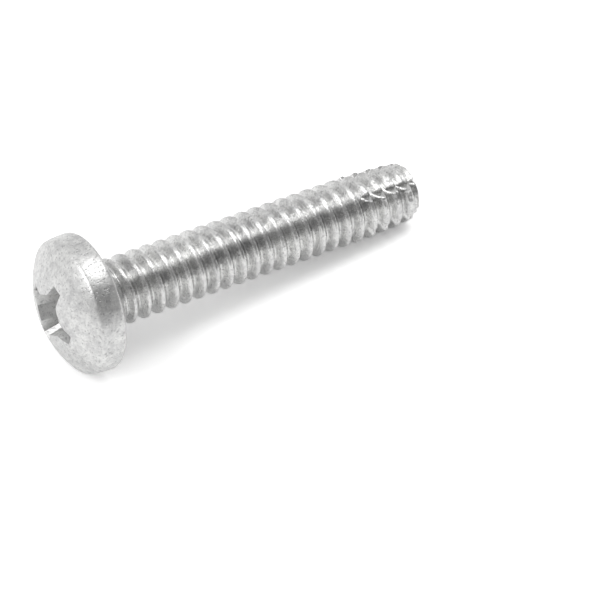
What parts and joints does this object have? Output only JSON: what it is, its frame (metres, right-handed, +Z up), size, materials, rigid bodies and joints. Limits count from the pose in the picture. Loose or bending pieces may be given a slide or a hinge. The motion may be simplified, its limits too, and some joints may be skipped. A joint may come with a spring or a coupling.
{
  "type": "pan head thread-cutting screw",
  "caption": "Zinc-plated pan head machine screw with a cross recess, a right-hand thread and a blunt thread-cutting point, lying on its side.",
  "frame": {"origin": "centre of the bearing face under the head, on the screw's axis", "axes": "+Z up with the screw lying on its side at rest, +X along the length towards the point, +Y across"},
  "size_m": [0.0284, 0.0094, 0.0095],
  "materials": {
    "zinc_plated_steel": "satin bright zinc plate"
  },
  "bodies": {
    "root": {"screw": "zinc_plated_steel"}
  },
  "joints": []
}
